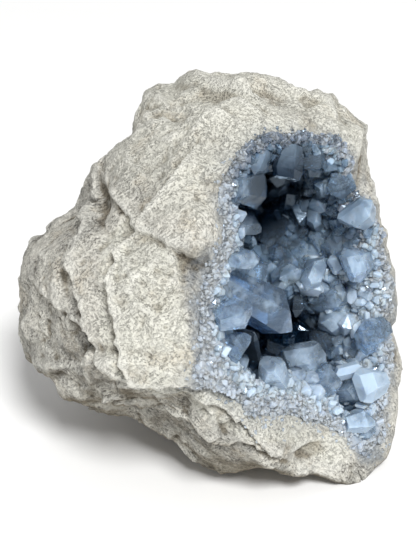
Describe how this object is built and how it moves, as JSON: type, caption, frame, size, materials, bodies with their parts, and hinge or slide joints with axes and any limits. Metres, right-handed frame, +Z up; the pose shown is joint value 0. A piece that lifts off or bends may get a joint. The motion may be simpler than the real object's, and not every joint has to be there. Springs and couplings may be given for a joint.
{
  "type": "celestite geode",
  "caption": "Rounded limestone geode, broken open on one side, with a deep hollow lined by a crust of blunt pale blue celestite crystals. It rests on a small flat spot.",
  "frame": {"origin": "on the ground, below the middle of the specimen's bounding box", "axes": "+Z up as it stands; the broken face with the hollow looks along -Y and a little upwards; +X is to the right of a viewer who faces the hollow"},
  "size_m": [0.1506, 0.1472, 0.1528],
  "materials": {
    "matrix_rock": "rough weathered limestone",
    "celestite_crust": "glossy, translucent, milky pale blue"
  },
  "bodies": {
    "root": {"matrix_rock": "matrix_rock", "celestite_crust": "celestite_crust"}
  },
  "joints": []
}
